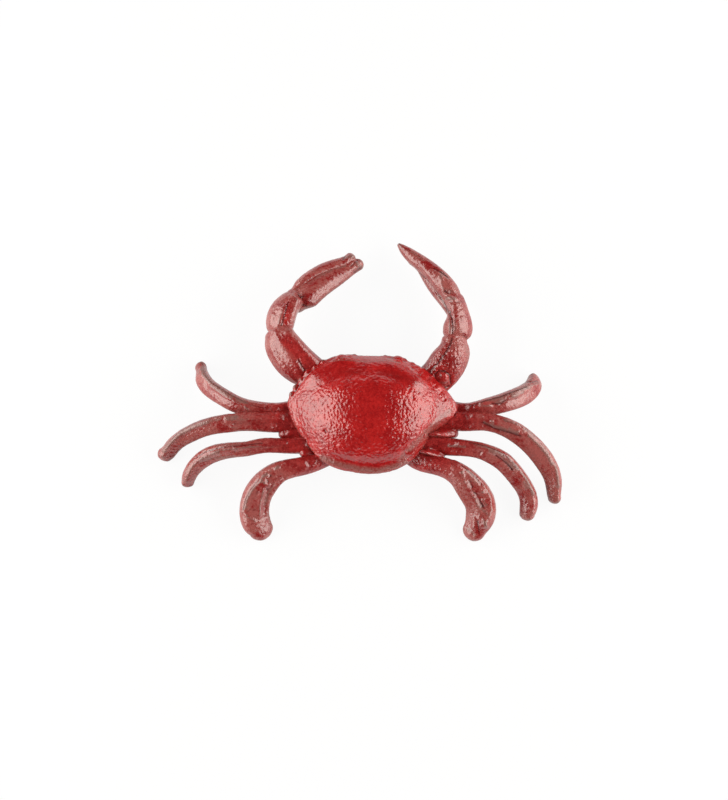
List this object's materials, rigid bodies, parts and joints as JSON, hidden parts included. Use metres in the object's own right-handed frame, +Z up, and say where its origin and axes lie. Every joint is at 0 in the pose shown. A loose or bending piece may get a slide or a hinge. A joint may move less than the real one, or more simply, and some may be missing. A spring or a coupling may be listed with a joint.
{
  "type": "crab figurine",
  "caption": "Cast iron crab figurine with a hollow split body, claws raised forward and flattened rear paddles, in worn red paint.",
  "frame": {"origin": "middle of the footprint, on the ground under the feet", "axes": "+Z up, +Y towards the head and claws, +X towards the right of the picture, which is the right side of the crab"},
  "size_m": [0.1506, 0.113, 0.0285],
  "materials": {
    "shell_paint": "gloss red paint over cast iron, rubbed brown on the high spots",
    "limb_paint": "gloss red paint over cast iron, rubbed brown on the ridges and tips",
    "belly_paint": "thin red paint over rough cast iron",
    "screw_steel": "dull, with paint in the slot"
  },
  "bodies": {
    "root": {"carapace": "shell_paint", "left_leg_1": "limb_paint", "left_leg_2": "limb_paint", "left_leg_3": "limb_paint", "left_leg_4": "limb_paint", "right_leg_1": "limb_paint", "right_leg_2": "limb_paint", "right_leg_3": "limb_paint", "right_leg_4": "limb_paint", "left_claw_arm": "limb_paint", "left_claw_palm": "limb_paint", "left_claw_finger": "limb_paint", "right_claw_arm": "limb_paint", "right_claw_palm": "limb_paint", "right_claw_finger": "limb_paint", "underbody": "belly_paint", "body_screw": "screw_steel"}
  },
  "joints": []
}
